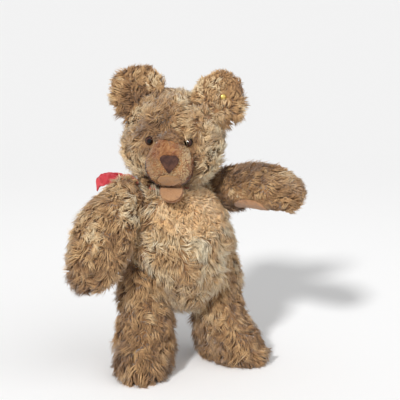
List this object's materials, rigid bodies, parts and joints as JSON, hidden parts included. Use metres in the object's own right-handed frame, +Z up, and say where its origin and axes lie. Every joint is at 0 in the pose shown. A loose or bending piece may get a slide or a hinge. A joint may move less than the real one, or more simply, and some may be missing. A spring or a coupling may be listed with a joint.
{
  "type": "teddy bear",
  "caption": "Jointed mohair teddy bear standing on flat felt soles, with turning head, arms and legs, an open felt-lined mouth, glass eyes, a chest bib and a ribbon bow.",
  "frame": {"origin": "centre of the bounding box's footprint, on the floor", "axes": "+Z up, the bear's body faces -Y, +X is the bear's own left"},
  "size_m": [0.2628, 0.1646, 0.352],
  "materials": {
    "mohair": "long tousled pile, worn, dusty, brown with paler tips",
    "pale_mohair": "shorter pale apricot pile",
    "clipped_mohair": "closely clipped golden pile, orange-tan on the bridge",
    "felt": "worn wool felt",
    "peach_felt": "peach wool felt",
    "floss": "stitched cotton floss, dark brown",
    "glass": "dark brown glass with a black pupil, glossy",
    "brass": "dull yellow metal",
    "ribbon": "satin-woven red ribbon, creased",
    "hardboard": "plain brown pressed board",
    "steel": "plain wire and pressed washers"
  },
  "bodies": {
    "torso": {"chest_bib": "pale_mohair", "hip_left_body_disc": "hardboard", "hip_left_body_washer": "steel", "hip_right_body_disc": "hardboard", "hip_right_body_washer": "steel", "neck_body_disc": "hardboard", "neck_body_washer": "steel", "neck_ribbon": "ribbon", "shoulder_left_body_disc": "hardboard", "shoulder_left_body_washer": "steel", "shoulder_right_body_disc": "hardboard", "shoulder_right_body_washer": "steel", "torso": "mohair"},
    "head": {"ear_left": "mohair", "ear_right": "mohair", "ear_stud": "brass", "eye_left": "glass", "eye_right": "glass", "head": "mohair", "jaw_lining": "peach_felt", "lower_jaw": "clipped_mohair", "mouth_palate": "peach_felt", "muzzle": "clipped_mohair", "neck_cotter_pin": "steel", "neck_limb_disc": "hardboard", "neck_limb_washer": "steel", "nose": "floss"},
    "left_arm": {"arm_left": "mohair", "paw_pad_left": "felt", "shoulder_left_cotter_pin": "steel", "shoulder_left_limb_disc": "hardboard", "shoulder_left_limb_washer": "steel"},
    "right_arm": {"arm_right": "mohair", "paw_pad_right": "felt", "shoulder_right_cotter_pin": "steel", "shoulder_right_limb_disc": "hardboard", "shoulder_right_limb_washer": "steel"},
    "left_leg": {"hip_left_cotter_pin": "steel", "hip_left_limb_disc": "hardboard", "hip_left_limb_washer": "steel", "leg_left": "mohair", "sole_left": "felt"},
    "right_leg": {"hip_right_cotter_pin": "steel", "hip_right_limb_disc": "hardboard", "hip_right_limb_washer": "steel", "leg_right": "mohair", "sole_right": "felt"}
  },
  "joints": [
    {"name": "neck_turn", "type": "hinge", "parent": "torso", "child": "head", "pos_m": [0.00421, 0.01514, 0.2225], "axis": [0.0227, -0.0131, 0.9997], "range_deg": [-30, 55]},
    {"name": "left_shoulder", "type": "hinge", "parent": "torso", "child": "left_arm", "pos_m": [0.04879, 0.01614, 0.1965], "axis": [0.9513, 0.1677, 0.2588], "range_deg": [-40, 65]},
    {"name": "right_shoulder", "type": "hinge", "parent": "torso", "child": "right_arm", "pos_m": [-0.03621, 0.01614, 0.1965], "axis": [-0.9513, 0.1677, 0.2588], "range_deg": [-60, 84]},
    {"name": "left_hip", "type": "hinge", "parent": "torso", "child": "left_leg", "pos_m": [0.04119, 0.00514, 0.104], "axis": [0.891, 0.454, 0], "range_deg": [-75, 40]},
    {"name": "right_hip", "type": "hinge", "parent": "torso", "child": "right_leg", "pos_m": [-0.01381, 0.00514, 0.104], "axis": [-0.891, 0.454, 0], "range_deg": [-50, 75]}
  ]
}
